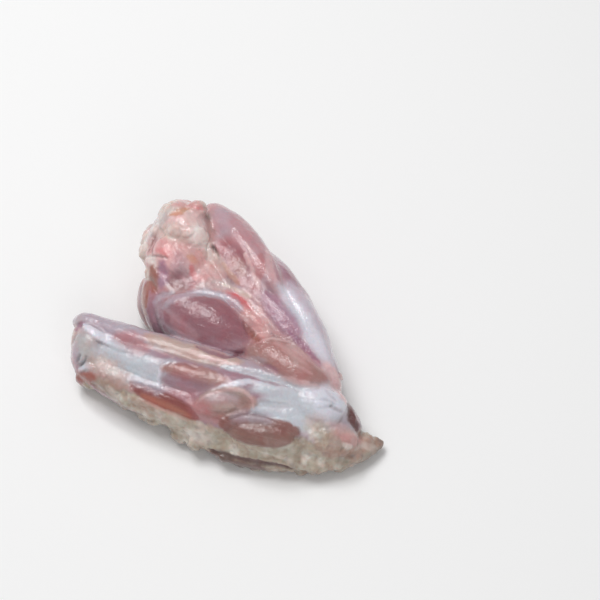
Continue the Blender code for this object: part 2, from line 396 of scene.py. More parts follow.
MARKS |= on_limb(Mark, FOREARM, {
    "fat margin, lower side": (
        ((130, 405), (165, 423), (200, 438), (240, 452), (280, 462), (320, 466), (345, 463)),
        6, "butter", 0.95
    ),
    "white fat": (((186, 434), (197, 436), (208, 438)), 5, "ivory", 0.5, 0.1, 3),
    "brown fat": (((132, 402), (148, 410), (166, 420)), 4, "clay", 0.55, 0, 3, 1.4),
    "lower oval": (((224, 424), (250, 429), (274, 433), (294, 432)), 8.6, "walnut", 0.95, 0.5, 1, 0.2),
    # Painted sheen: a lilac reflection along the top of the lower oval
    "lower oval, sheen": (((234, 418), (252, 416), (270, 420)), 3.4, "lilac", 0.6, 0, 2.5),
    "lower oval, top line": (((228, 420), (246, 414), (263, 416), (277, 422)), 0.8, "umber", 0.5, -0.2),
    "wrist nub": (((78, 377), (85, 379), (92, 377)), 4.2, "rust", 0.95),
    "under the nub": (((92, 384), (98, 388), (104, 392)), 2.2, "clay", 0.7, -0.4),
    # Painted shade along the bottom edge under the fat: umber in its fold, and bark over the meat there,
    # darker towards the bottom
    "dark fold under the fat": (
        ((208, 449), (222, 454), (240, 459), (256, 462), (280, 466), (296, 470)), 1.4, "umber", 0.9, -0.6
    ),
    "meat under the fat": (((212, 453), (235, 464), (262, 469)), 5, "bark", 1),
    # The slit, which cuts into the fat
    "rose above the slit": (((168, 394), (186, 400), (204, 408)), 6, "rose", 0.5, 0, 4),
    "slit": (
        ((131, 384), (148, 394), (165, 402), (182, 410), (198, 419)), 5, "brick", 0.92, -0.35, 0.9, 0.1, 0.5
    ),
    "slit, lower half": (
        ((142, 395), (157, 402), (173, 409), (190, 417)), 2, "coral", 0.85, 0, 1.6, 0.1
    ),
    "slit, lower edge": (
        ((139, 399), (155, 407), (171, 414), (188, 421)), 1, "peach", 0.8, 0.1, 0.8, 0.2
    ),
    "slit, right end": (((195, 407), (203, 413), (212, 420)), 6, "rose", 0.45, 0, 4),
    "lip above the slit": (((130, 379), (146, 385), (162, 391)), 3, "lilac", 0.6, 0, 2),
})
MARKS |= on_limb(Mark, None, {
    # Elbow
    "elbow flap": (((320, 446), (345, 446), (366, 444)), 9, "clay", 0.85, 0, 3, 1.2),
})
MARKS |= on_limb(Mark, FOREARM, {
    "elbow flap, pink": (((344, 438), (360, 440)), 4, "blush", 0.6),
})
MARKS |= on_limb(Mark, None, {
    "elbow flap, top": (((331, 424), (342, 431), (352, 435)), 4.5, "blush", 0.5),
    "elbow flap, white spot": (((344, 445), (350, 447)), 1.6, "ivory", 0.6, 0.3),
    "elbow flap, tip": (((364, 440), (380, 443)), 4, "clay", 0.6),
})
MARKS |= on_limb(Mark, FOREARM, {
    "elbow tan": (((311, 427), (320, 433), (325, 442)), 5.5, "butter", 0.8, 0, 4, 1.2),
})
MARKS |= on_limb(Mark, None, {
    "elbow tendon": (((316, 394), (330, 398), (343, 404)), 11, "frost", 0.95, 0.1, 5),
    # Painted shade: slate darkens the elbow's dimple and wrinkles
    "elbow dimple": (((331, 406), (336, 409), (341, 411)), 1.2, "slate", 0.4, -0.35),
    "elbow wrinkle 1": (((320, 399), (327, 400), (335, 404)), 0.7, "slate", 0.3, -0.25),
    "elbow wrinkle 2": (((326, 389), (331, 395), (337, 401)), 0.7, "slate", 0.25, -0.2),
    "elbow wrinkle 3": (((318, 408), (326, 407), (333, 405)), 0.7, "slate", 0.25, -0.2),
})
MARKS |= on_limb(Mark, FOREARM, {
    "elbow cream": (((310, 420), (322, 422)), 4, "cream", 0.4, 0, 3),
})
MARKS |= on_limb(Mark, None, {
    "meat behind the elbow": (((348, 401), (351, 414), (356, 429)), 3.6, "umber", 0.95, 0, 1),
})
MARKS |= on_limb(Mark, UPPER_ARM, {
    # Upper arm: shoulder
    "shoulder fat": (((168, 222), (185, 223), (206, 221)), 10, "petal", 0.75, 0, 3),
    "shoulder fat, left edge": (((160, 228), (163, 220), (168, 212)), 3, "ash", 0.7),
    "shoulder crown": (((174, 205), (187, 202), (201, 205)), 5, "blush", 0.9),
    "shoulder crown, orange": (((170, 214), (178, 212), (188, 208)), 2, "ochre", 0.85, -0.4),
    "shoulder crown, red line": (((189, 205), (206, 209)), 1.6, "blood", 0.4, -0.2),
    "shoulder cartilage": (((195, 232), (200, 239), (204, 250)), 6.5, "ivory", 1, 0.9, 3),
    "shoulder pink column": (((206, 214), (209, 226), (211, 237), (212, 246)), 3, "salmon", 0.65),
    # Painted shade: a near-black pit beside the cartilage, also sunk
    "shoulder pit": (((213, 247), (215, 251), (217, 256)), 1.3, "hole", 0.9, -0.9, 0.6, 0.1),
    "shoulder fat, lower": (((203, 254), (214, 261), (222, 268)), 5, "cream", 0.7),
    "flap at the left": (((144, 252), (145, 241), (151, 230), (159, 225)), 3.2, "ivory", 0.6, 0.2),
    "flap's hollow": (((152, 251), (156, 241), (161, 236)), 4.6, "rose", 0.5, -0.3, 3),
    "flap's edge": (((149, 252), (152, 241), (155, 235)), 0.7, "brick", 0.6, -0.3),
    "red by the flap": (((162, 238), (168, 245), (175, 243)), 2.2, "blood", 0.5),
    "pink by the cartilage": (((163, 246), (176, 250), (190, 254), (202, 258)), 8, "blush", 0.85, 0, 4),
    "pale field above it": (((158, 232), (172, 232), (184, 238)), 5, "cream", 0.6, 0, 3),
    "red under the flap": (((158, 250), (166, 252), (174, 258), (178, 264)), 2, "blood", 0.4),
    # Painted shade: umber darkens the fold under the flap
    "fold under the flap": (((146, 257), (156, 256), (167, 258)), 0.8, "umber", 0.6, -0.4),
    "hanging flap": (((148, 258), (153, 262), (155, 266)), 3, "ivory", 0.6, 0.12),
    # Upper arm: under the shoulder
    "shoulder mauve": (((178, 254), (180, 264), (178, 276)), 4.5, "mauve", 0.45, 0, 3),
    "shoulder violet": (((162, 264), (162, 274), (161, 286)), 4.4, "orchid", 0.95),
    "shoulder tan": (((152, 268), (153, 279), (154, 290)), 4, "rust", 0.9),
    # The hollow under the shoulder's knob: sunk, and its dark meat deepened with plum as painted shade
    "shoulder hollow": (((172, 277), (182, 280), (194, 279)), 5.5, "plum", 0.7, -0.5, 3.5),
    "shoulder red": (((191, 266), (195, 277)), 2, "blood", 0.7),
    "shoulder ochre": (((189, 257), (196, 261)), 2.2, "ochre", 0.6),
    "shoulder blush": (((203, 268), (212, 276), (220, 284)), 8, "blush", 0.8),
    "shoulder cream": (((198, 287), (214, 285), (234, 286)), 4, "ash", 0.55),
    # Painted shade: umber darkens the lower part of the hollow
    "below the hollow": (((171, 281), (177, 284), (184, 283)), 4.5, "umber", 0.35, -0.35, 4),
    # Upper arm: upper lobes
    "upper lobe, pale": (((221, 210), (227, 220), (224, 232)), 7.5, "lilac", 0.55, 0, 4),
    "upper lobe": (((225, 242), (236, 254), (248, 272), (254, 286)), 8, "rose", 0.85),
    "upper lobe, deep": (((227, 246), (238, 259), (249, 278)), 6.5, "plum", 0.55, 0, 3),
    "upper lobe, right side": (((236, 216), (246, 232), (256, 250)), 8, "pink", 0.8),
    "upper lobe, orange": (((234, 259), (243, 272)), 4.2, "salmon", 0.7),
    # Pale strands along a shallow fold of the upper lobe, painted partly as the fold's highlight
    "upper lobe, long streak": (((244, 254), (250, 264), (255, 275), (260, 288)), 1.7, "petal", 0.8, 0.12),
    "upper lobe, thin streak": (((246, 241), (251, 254), (257, 269)), 0.9, "petal", 0.5, 0.1),
    "upper lobe, tan strip": (((223, 264), (231, 275), (239, 284)), 1.8, "ochre", 0.5),
    "upper lobe, rose strip": (((261, 256), (260, 276)), 3.2, "rose", 0.9),
    "notch streak": (((268, 252), (270, 268), (275, 290)), 2.6, "petal", 0.55, 0.05),
    "right lobe": (((281, 256), (291, 270), (299, 283)), 9, "plum", 0.5),
    "right lobe, rose band": (((269, 284), (273, 300), (277, 314)), 4.2, "plum", 0.6),
    # Upper arm: fascia of the right lobe
    "fascia, far side": (
        ((292, 286), (306, 306), (319, 326), (329, 344), (337, 362)), 10, "frost", 0.6, 0, 5, 0.6
    ),
    "fascia": (((280, 284), (290, 302), (303, 320), (314, 338), (323, 356)), 5, "frost", 0.8, 0, 3),
    "fascia, lower end": (((310, 336), (322, 354), (333, 374)), 6, "frost", 0.7, 0, 3, 1),
})
MARKS |= on_limb(Mark, None, {
    "skin edge at the elbow": (((326, 366), (338, 384), (346, 402)), 5, "petal", 0.85, 0.2),
    "small nub": (((340, 374), (342, 379)), 1.6, "cream", 0.8, 0.5),
})
MARKS |= on_limb(Mark, UPPER_ARM, {
    # Upper arm: streaks above the biceps
    "red streak": (((229, 296), (240, 303), (252, 312)), 4.4, "blood", 1, -0.1, 1.4),
    "strip": (((244, 309), (254, 321), (266, 336)), 5, "blush", 0.9),
    "strip, far side": (((258, 306), (268, 320), (278, 334)), 3, "blush", 0.5),
    "strand 1": (((236, 291), (249, 300), (258, 310)), 0.9, "petal", 0.9, 0.15),
    "strand 2": (((243, 289), (252, 297), (260, 305)), 0.8, "petal", 0.7, 0.12),
    "strand 3": (((247, 299), (255, 310), (265, 319), (274, 328)), 1.1, "petal", 0.9, 0.15),
    "strand 4": (((222, 284), (236, 290), (250, 297)), 1.2, "cream", 0.8, 0.12),
    "strand 5": (((245, 316), (249, 330), (252, 338)), 0.9, "petal", 0.7, 0.12),
    "violet band by the fascia": (
        ((267, 294), (276, 310), (287, 322), (296, 332)), 6, "orchid", 0.85, 0, 2.5
    ),
    "rust wedge": (((244, 322), (251, 333), (259, 341)), 1.9, "rust", 0.9, -0.5),
    # Upper arm: biceps and its sheath
    "sheath": (((158, 298), (157, 314), (162, 330)), 6.5, "mauve", 0.8),
    "sheath, pale top": (((155, 302), (160, 297), (170, 294)), 3, "lilac", 0.7),
    "tag at the left": (((146, 286), (143, 297), (143, 308), (145, 316)), 6.5, "rust", 0.95, 0, 1),
    "biceps": (((182, 312), (205, 318), (238, 328)), 15, "plum", 0.9),
    "biceps, centre": (((194, 304), (212, 312), (236, 322)), 8, "plum", 0.9),
    "biceps, left side": (((171, 316), (182, 328), (196, 338)), 4.2, "pink", 0.5),
    "biceps, lower side": (((205, 344), (226, 350), (246, 343)), 5, "mauve", 0.6),
    "biceps rim": (
        ((164, 308), (176, 298), (192, 293), (210, 294), (230, 300), (243, 311)), 3, "lilac", 0.75, 0.2
    ),
    "biceps rim, white": (((187, 293), (202, 292), (220, 296), (230, 300)), 1, "frost", 0.6, 0.1),
})
MARKS |= on_limb(Mark, None, {
    "shade under the biceps": (
        ((198, 347), (212, 352), (228, 356), (242, 353)), 1.6, "plum_dark", 0.8, -0.3
    ),
})
MARKS |= on_limb(Mark, UPPER_ARM, {
    # Upper arm: brachialis, down to the elbow
    "brachialis": (((252, 352), (278, 356), (304, 369), (324, 379)), 12, "salmon", 0.9),
    "magenta": (((289, 332), (299, 342), (309, 352), (321, 366)), 1.9, "magenta", 0.75, -0.1),
    "magenta, lower": (((262, 365), (276, 372)), 1.8, "magenta", 0.6, -0.15),
    "brachialis streak 1": (((276, 343), (292, 353), (308, 366)), 2.6, "petal", 0.35, 0, 2),
    "brachialis streak 2": (((290, 345), (306, 357), (324, 370)), 2.2, "petal", 0.5, 0.05, 1.6),
    "brachialis streak 3": (((284, 360), (298, 366), (312, 374)), 1, "petal", 0.35, 0.03),
    "strip's end on the brachialis": (((258, 342), (272, 339), (287, 341)), 1, "petal", 0.6, 0.1),
    # Painted sheen: a lilac reflection of the wet film on the brachialis
    "brachialis sheen": (((250, 358), (266, 361)), 1.8, "lilac", 0.4),
    "lower edge of the brachialis": (((282, 378), (300, 383), (320, 387)), 1.8, "petal", 0.8, 0.1),
})


def pigment(label, red, green, blue, where):
    """A colour that a user can change."""
    default = (red, green, blue)
    return FloatVectorProperty(
        name=label, description=where, subtype="COLOR", size=3, min=0.0, max=1.0, default=default
    )


def measure(label, millimetres, where, **limits):
    """A length that a user can change."""
    return FloatProperty(name=label, description=where, default=millimetres * MM, unit="LENGTH", **limits)


class WingColours(bpy.types.PropertyGroup):
    plum: pigment("Plum", 0.305, 0.133, 0.162, "Deep muscle, as of the biceps")
    # Dark plum: a deeper mauve in the mauve band, and painted shade under the biceps
    plum_dark: pigment("Dark plum", 0.29, 0.145, 0.185, "Muscle where it turns under")
    mauve: pigment("Mauve", 0.366, 0.235, 0.287, "Muscle through thin silverskin")
    orchid: pigment("Orchid", 0.402, 0.238, 0.323, "Violet muscle of the upper arm")
    # Lilac: muscle through thick silverskin, and the painted sheen on the ovals and the brachialis
    lilac: pigment("Lilac", 0.468, 0.413, 0.479, "Muscle through thick silverskin")
    rose: pigment("Rose", 0.491, 0.216, 0.231, "Bright muscle")
    salmon: pigment("Salmon", 0.4, 0.212, 0.195, "Orange muscle")
    blush: pigment("Blush", 0.672, 0.392, 0.381, "Pale pink tissue")
    petal: pigment("Petal", 0.776, 0.552, 0.552, "Pinkish white strands")
    cream: pigment("Cream", 0.72, 0.6, 0.545, "Shoulder fat")
    peach: pigment("Peach", 0.52, 0.37, 0.32, "Pinkish fat")
    ivory: pigment("Ivory", 0.88, 0.83, 0.79, "White fat and cartilage")
    ash: pigment("Ash", 0.51, 0.51, 0.515, "Greyish tissue of the wrist")
    # Clay: brownish pink fat, and also painted shade between the fat's lobules
    clay: pigment("Clay", 0.42, 0.275, 0.23, "Brownish pink fat of the elbow")
    pink: pigment("Pink", 0.52, 0.3, 0.33, "Pale muscle of the upper arm")
    ochre: pigment("Ochre", 0.617, 0.342, 0.223, "Orange fat")
    butter: pigment("Butter", 0.491, 0.434, 0.352, "Fat of the trailing edge")
    tallow: pigment("Tallow", 0.342, 0.305, 0.238, "Greyish fat of the lower side")
    pearl: pigment("Pearl", 0.6, 0.635, 0.69, "Bluish silverskin")
    frost: pigment("Frost", 0.74, 0.74, 0.82, "Bright silverskin and tendon")
    brick: pigment("Brick", 0.26, 0.068, 0.058, "Meat in the slit")
    coral: pigment("Coral", 0.43, 0.17, 0.12, "Orange meat in the slit")
    blood: pigment("Blood", 0.631, 0.162, 0.175, "Red streaks")
    magenta: pigment("Magenta", 0.323, 0.133, 0.223, "Bruised meat")
    cocoa: pigment("Cocoa", 0.46, 0.325, 0.29, "Upper oval")
    walnut: pigment("Walnut", 0.25, 0.125, 0.105, "Lower oval")
    # Bark: painted shade, darker towards the bottom, on the underside's bellies, low on the meat and under
    # the fat
    bark: pigment("Bark", 0.16, 0.1, 0.085, "Meat of the underside")
    # Umber: dark meat behind the elbow, and also painted shade in creases, folds and hollows
    umber: pigment("Umber", 0.138, 0.061, 0.058, "Dark meat behind the elbow")
    rust: pigment("Rust", 0.332, 0.122, 0.089, "Dried meat at the cut ends")
    # Slate: veins and grey blotches of the fat, and also painted shade in folds, wrinkles and a dimple
    slate: pigment("Slate", 0.262, 0.254, 0.279, "Folds and veins")
    # Near black: painted shade in the pit beside the cartilage
    hole: pigment("Hole", 0.107, 0.061, 0.054, "Pit beside the cartilage")


class WingSizes(bpy.types.PropertyGroup):
    fineness: measure("Fineness", 0.46, "Grain of the meat's mesh", min=0.2 * MM)
    crease_depth: measure("Crease depth", 0.45, "Depth of the furrows between muscles")
    crease_width: measure("Crease width", 0.8, "Half width of those furrows")
    fat_relief: measure("Fat relief", 0.32, "Height of the fat's small lumps")
    fibre_relief: measure("Fibre relief", 0.07, "Height of the muscle's bundles")
    edge_lumps: IntProperty(
        name="Edge lumps", description="Lumps of fat on the trailing edge", default=120, min=1
    )
    shoulder_lumps: IntProperty(
        name="Shoulder lumps", description="Lumps of fat on each shoulder line", default=11, min=1
    )
    least_lump: measure("Least lump", 1.1, "Radius of the least lump")
    largest_lump: measure("Largest lump", 3.4, "Radius of the largest lump")
    lump_scatter: measure("Lump scatter", 2.0, "How far lumps stray from their line")
    seed: IntProperty(name="Seed", description="Draw of the lumps and of the relief", default=11)


def add_node(tree, kind, inputs=None, **settings):
    """Adds a node with its settings, and gives each named input a value or a link."""
    node = tree.nodes.new(kind)
    for name, value in settings.items():
        setattr(node, name, value)
    for name, value in (inputs or {}).items():
        if isinstance(value, bpy.types.NodeSocket):
            tree.links.new(value, node.inputs[name])
        else:
            node.inputs[name].default_value = value
    return node


def calculate(tree, operation, *values):
    """The result of a Math node."""
    return add_node(tree, "ShaderNodeMath", dict(enumerate(values)), operation=operation).outputs[0]


def calculate_vector(tree, operation, *values, scale=None):
    """The result of a Vector Math node."""
    inputs = dict(enumerate(values))
    if scale is not None:
        inputs["Scale"] = scale
    return add_node(tree, "ShaderNodeVectorMath", inputs, operation=operation).outputs[0]


def new_geometry_tree(name, sockets):
    """A Geometry Nodes tree with the named inputs, and its Group Input node's outputs by name."""
    tree = bpy.data.node_groups.new(name, "GeometryNodeTree")
    tree.interface.new_socket("Mesh", in_out="OUTPUT", socket_type="NodeSocketGeometry")
    for label, kind in sockets.items():
        tree.interface.new_socket(label, in_out="INPUT", socket_type="NodeSocket" + kind)
    given = tree.nodes.new("NodeGroupInput").outputs
    return tree, {label: given[label] for label in sockets}


def end_geometry_tree(tree, geometry, material):
    """Closes a tree as every tree here ends: real instances, with their material."""
    real = add_node(tree, "GeometryNodeRealizeInstances", {"Geometry": geometry}).outputs[0]
    dressed = add_node(tree, "GeometryNodeSetMaterial", {"Geometry": real, "Material": material}).outputs[0]
    add_node(tree, "NodeGroupOutput", {0: dressed})


def make_belly_tree():
    """One muscle belly: an oval swept along a parabola through three places, closed at both ends."""
    tree, given = new_geometry_tree(
        "muscle_belly",
        {
            "Start": "Vector", "Middle": "Vector", "End": "Vector", "Width": "Float", "Thickness": "Float",
            "Bluntness": "Float", "Swell": "Float", "Rings": "Int", "Sides": "Int", "Material": "Material",
        },
    )
    chord = calculate_vector(tree, "ADD", given["Start"], given["End"])
    half_chord = calculate_vector(tree, "SCALE", chord, scale=0.5)
    twice_middle = calculate_vector(tree, "SCALE", given["Middle"], scale=2.0)
    handle = calculate_vector(tree, "SUBTRACT", twice_middle, half_chord)
    curve = add_node(
        tree,
        "GeometryNodeCurveQuadraticBezier",
        {"Resolution": given["Rings"], "Start": given["Start"], "Middle": handle, "End": given["End"]},
    ).outputs[0]
    upright = add_node(tree, "GeometryNodeSetCurveNormal", {"Curve": curve}, mode="Z_UP").outputs[0]

    share = add_node(tree, "GeometryNodeSplineParameter").outputs["Factor"]
    left_over = calculate(tree, "SUBTRACT", 1.0, share)
    roundness = calculate(tree, "MULTIPLY", calculate(tree, "MULTIPLY", share, left_over), 4.0)
    held = calculate(tree, "MAXIMUM", roundness, LEAST_SIZE**2)
    blunted = calculate(tree, "POWER", held, given["Bluntness"])
    leaning = calculate(tree, "MULTIPLY_ADD", share, 2.0, -1.0)
    swelling = calculate(tree, "MULTIPLY_ADD", leaning, given["Swell"], 1.0)
    size = calculate(tree, "MULTIPLY", blunted, swelling)

    ring = {"Resolution": given["Sides"], "Radius": 0.5}
    circle = add_node(tree, "GeometryNodeCurvePrimitiveCircle", ring).outputs[0]
    across = {"X": given["Width"], "Y": given["Thickness"], "Z": 1.0}
    stretch = add_node(tree, "ShaderNodeCombineXYZ", across).outputs[0]
    oval = add_node(tree, "GeometryNodeTransform", {"Geometry": circle, "Scale": stretch}).outputs[0]
    belly = add_node(
        tree,
        "GeometryNodeCurveToMesh",
        {"Curve": upright, "Profile Curve": oval, "Scale": size, "Fill Caps": True},
    ).outputs[0]
    end_geometry_tree(tree, belly, given["Material"])
    return tree


def make_lumps_tree():
    """Round lumps of fat, scattered close to a line."""
    tree, given = new_geometry_tree(
        "fat_lumps",
        {
            "Line": "Geometry", "Count": "Int", "Least Radius": "Float", "Largest Radius": "Float",
            "Scatter": "Float", "Seed": "Int", "Material": "Material",
        },
    )
    curve = add_node(tree, "GeometryNodeMeshToCurve", {"Mesh": given["Line"]}).outputs[0]
    count = {"Curve": curve, "Count": given["Count"]}
    spaced = add_node(tree, "GeometryNodeResampleCurve", count).outputs[0]
    back = calculate(tree, "MULTIPLY", given["Scatter"], -1.0)
    scatter = {0: back, 1: given["Scatter"], "Seed": given["Seed"]}
    stray = add_node(tree, "FunctionNodeRandomValue", scatter, data_type="FLOAT_VECTOR").outputs[0]
    strewn = add_node(tree, "GeometryNodeSetPosition", {"Geometry": spaced, "Offset": stray}).outputs[0]
    next_seed = calculate(tree, "ADD", given["Seed"], 1.0)
    radii = {2: given["Least Radius"], 3: given["Largest Radius"], "Seed": next_seed}
    radius = add_node(tree, "FunctionNodeRandomValue", radii, data_type="FLOAT").outputs[1]
    lump = add_node(tree, "GeometryNodeMeshIcoSphere", {"Radius": 1.0, "Subdivisions": 2}).outputs[0]
    lumps = add_node(
        tree, "GeometryNodeInstanceOnPoints", {"Points": strewn, "Instance": lump, "Scale": radius}
    ).outputs[0]
    end_geometry_tree(tree, lumps, given["Material"])
    return tree


def grow(name, tree, inputs, mesh=None):
    """Runs a tree on an object of its own, and returns what it makes as a plain mesh."""
    source = bpy.data.objects.new(name, mesh or bpy.data.meshes.new(name))
    bpy.context.scene.collection.objects.link(source)
    modifier = source.modifiers.new(name, "NODES")
    modifier.node_group = tree
    for item in tree.interface.items_tree:
        if item.in_out == "INPUT" and item.name in inputs:
            modifier[item.identifier] = inputs[item.name]
    grown = plain_mesh(source)
    bpy.data.objects.remove(source)
    return grown


def plain_mesh(source):
    """The object's mesh as its modifiers leave it."""
    ready = source.evaluated_get(bpy.context.evaluated_depsgraph_get())
    return bpy.data.meshes.new_from_object(ready)


def line_mesh(name, places):
    """A mesh of edges through places, in metres."""
    mesh = bpy.data.meshes.new(name)
    edges = [(i, i + 1) for i in range(len(places) - 1)]
    mesh.from_pydata([place * MM for place in places], edges, [])
    return mesh


def joined_object(name, meshes):
    """One object that holds copies of all the meshes, which are then removed."""
    joined = bmesh.new()
    for mesh in meshes:
        joined.from_mesh(mesh)
        bpy.data.meshes.remove(mesh)
    data = bpy.data.meshes.new(name)
    joined.to_mesh(data)
    joined.free()
    made = bpy.data.objects.new(name, data)
    bpy.context.scene.collection.objects.link(made)
    return made


def smoothstep(low, high, value):
    """0 below low, 1 above high, and an even slope between."""
    share = np.clip((value - low) / (high - low), 0.0, 1.0)
    return share * share * (3.0 - 2.0 * share)


def noise(places, lumps, seed):
    """Smooth noise from about -1 to 1 at each place, with lumps of about the given size."""
    shifted = (places / lumps + SEED_SHIFT * seed).tolist()
    return np.array([perlin(place) for place in shifted]) * NOISE_GAIN


def rough_noise(places, lumps, seed):
    """Noise with two finer layers on it, still about -1 to 1."""
    levels = range(NOISE_LAYERS)
    layers = (noise(places, lumps / FINER**level, seed + level) / FAINTER**level for level in levels)
    return sum(layers) / LAYER_GAIN


def line_through(points, spacing):
    """Places along a smooth curve through points, about spacing apart."""
    points = np.array(points, float)
    if len(points) == 1:
        return points
    padded = np.vstack([2 * points[0] - points[1], points, 2 * points[-1] - points[-2]])
    pieces = []
    for before, start, end, after in zip(padded, padded[1:], padded[2:], padded[3:]):
        count = max(2, math.ceil(np.linalg.norm(end - start) / spacing))
        share = np.linspace(0.0, 1.0, count, endpoint=False)[:, None]
        bend = 2 * before - 5 * start + 4 * end - after
        twist = 3 * start - before - 3 * end + after
        pieces.append(start + share * (end - before) / 2 + share**2 * bend / 2 + share**3 * twist / 2)
    return np.vstack(pieces + [points[-1:]])


class PhotoView:
    """The photograph's camera, in millimetres."""

    def __init__(self):
        lift = math.radians(CAMERA_ELEVATION)
        self.back = Vector((0.0, -math.cos(lift), math.sin(lift)))
        self.up = Vector((0.0, math.sin(lift), math.cos(lift)))
        self.eye = LOOK_AT + self.back * CAMERA_DISTANCE
        self.focal = PIXELS_PER_MM * CAMERA_DISTANCE

    def ray(self, x, y):
        """The direction from the eye through a pixel of the photograph."""
        across = (x - PHOTO_SIZE / 2) / self.focal
        rise = (PHOTO_SIZE / 2 - y) / self.focal
        return (Vector((1.0, 0.0, 0.0)) * across + self.up * rise - self.back).normalized()


class Meat:
    """The fused meat before it is sculpted, with what is known of each of its places."""

    def __init__(self, mesh):
        self.mesh = mesh
        self.faces = [face.vertices[:] for face in mesh.polygons]
        self.first_corner = np.array([face[0] for face in self.faces])
        self.read_places()
        self.read_neighbours()
        self.survey_bellies()
        self.fill_valleys()
        self.tree = BVHTree.FromPolygons(self.places.tolist(), self.faces)
        larger, finer = UNEVEN_SHARES
        self.unevenness = larger * noise(self.places, *UNEVEN) + finer * noise(self.places, *UNEVEN_FINE)
        larger, finer = LOBULE_SHARES
        large_lobules = np.abs(noise(self.places, *LARGE_LOBULES))
        small_lobules = np.abs(noise(self.places, *SMALL_LOBULES))
        self.lobules = np.minimum(1.0, larger * large_lobules + finer * small_lobules)

    def read_places(self):
        """Reads the mesh's places, in millimetres, and its normals."""
        count = len(self.mesh.vertices)
        self.places = np.empty(count * 3)
        self.mesh.vertices.foreach_get("co", self.places)
        self.places = self.places.reshape(-1, 3) / MM
        self.normals = np.empty(count * 3)
        self.mesh.vertex_normals.foreach_get("vector", self.normals)
        self.normals = self.normals.reshape(-1, 3)

    def read_neighbours(self):
        """Lists each edge both ways, and counts the edges at each place."""
        ends = np.empty(len(self.mesh.edges) * 2, np.int64)
        self.mesh.edges.foreach_get("vertices", ends)
        first, second = ends.reshape(-1, 2).T
        self.here = np.concatenate([first, second])
        self.there = np.concatenate([second, first])
        self.edge_count = np.bincount(self.here)[:, None]

    def evened(self, values):
        """The values at each place, brought half way to the mean of its neighbours' values."""
        columns = values[self.there].T
        total = np.stack([np.bincount(self.here, weights=column) for column in columns], axis=1)
        return (values + total / self.edge_count) / 2

    def move_to(self, places):
        """Moves the mesh to new places, none of them below the table's surface."""
        pressed = places.copy()
        pressed[:, 2] = np.maximum(pressed[:, 2], 0.0)
        self.mesh.vertices.foreach_set("co", (pressed * MM).ravel())
        self.mesh.update()
        self.read_places()

    def survey_bellies(self):
        """Finds each place's nearest belly, how near the next one is, and its place along the fibres."""
        gaps, along_fibres = [], []
        for index, belly in enumerate(BELLIES.values()):
            gap, fibre = belly_distance(self.places, belly)
            gaps.append(gap)
            along_fibres.append(fibre + index * FIBRE_SHIFT)
        gaps = np.array(gaps)
        nearest = gaps.argmin(axis=0)
        least_two = np.partition(gaps, 1, axis=0)
        self.crease = least_two[1] - least_two[0]
        self.fibre = np.array(along_fibres)[nearest, np.arange(len(self.places))]
        self.blend = np.exp(-(gaps - least_two[0]) / BLEND_WIDTH)
        self.blend /= self.blend.sum(axis=0)
        on_forearm = np.array([belly.limb is FOREARM for belly in BELLIES.values()])
        self.forearm_share = self.blend[on_forearm].sum(axis=0)
        self.limb_gap = np.abs(gaps[on_forearm].min(axis=0) - gaps[~on_forearm].min(axis=0))

    def fill_valleys(self):
        """Fills the valleys between the bellies of one limb, as silverskin does."""
        spread = self.places
        for _ in range(VALLEY_PASSES):
            spread = self.evened(spread)
        rise = ((spread - self.places) * self.normals).sum(axis=1).clip(0.0)
        share = VALLEY_FILL * smoothstep(*LIMB_GAP, self.limb_gap)
        self.move_to(self.places + self.normals * (rise * share)[:, None])

    def untangle(self):
        """Smooths the skin wherever it passes through itself."""
        corners = np.array(self.faces)
        for _ in range(UNTANGLE_ROUNDS):
            tree = BVHTree.FromPolygons(self.places.tolist(), self.faces)
            crossing = tree.overlap(tree)
            if not crossing:
                return
            tangled = np.zeros((len(self.places), 1))
            tangled[corners[np.array(crossing)].ravel()] = 1.0
            for _ in range(UNTANGLE_REACH):
                tangled = self.evened(tangled)
            share = smoothstep(*UNTANGLE_FADE, tangled)
            places = self.places
            for _ in range(UNTANGLE_PASSES):
                places = places + (self.evened(places) - places) * share
            self.move_to(places)

    def plain_limb_share(self, limb):
        """How far each place belongs to a limb, as its colours blend: 1 everywhere for no limb."""
        if limb is None:
            return np.ones(len(self.places))
        return self.forearm_share if limb is FOREARM else 1.0 - self.forearm_share

    def limb_share(self, limb):
        """How far a mark on a limb may cover each place."""
        return smoothstep(*LIMB_FADE, self.plain_limb_share(limb))

    def mark_line(self, view, mark):
        """The places of a mark's middle line, cast from the photograph onto the meat."""
        on_limb = self.limb_share(mark.limb)
        line = []
        for x, y in line_through(mark.pixels, MARK_SPACING):
            hit, _, face, _ = self.tree.ray_cast(view.eye, view.ray(x, y))
            if hit is not None and on_limb[self.first_corner[face]] > LEAST_LIMB_SHARE:
                line.append(hit)
        return np.array(line)

    def mark_share(self, view, name):
        """How far each place lies in a mark, from 0 to 1: nowhere, where the mark misses the meat."""
        mark = MARKS[name]
        share = np.zeros(len(self.places))
        line = self.mark_line(view, mark)
        if not len(line):
            return share
        soft = mark.softness() / 2
        reach = mark.width / 2 + soft + 2 * mark.ragged
        inside = (self.places > line.min(axis=0) - reach) & (self.places < line.max(axis=0) + reach)
        near = np.flatnonzero(inside.all(axis=1))
        apart = np.linalg.norm(self.places[near, None] - line[None], axis=2)
        position = (apart.argmin(axis=1) + 0.5) / len(line)
        half_width = mark.width / 2 * (4 * position * (1 - position)) ** mark.taper
        ragged = min(mark.ragged, mark.width / 4) * self.unevenness[near]
        share[near] = smoothstep(-soft, soft, half_width - apart.min(axis=1) + ragged)
        return share * self.limb_share(mark.limb)


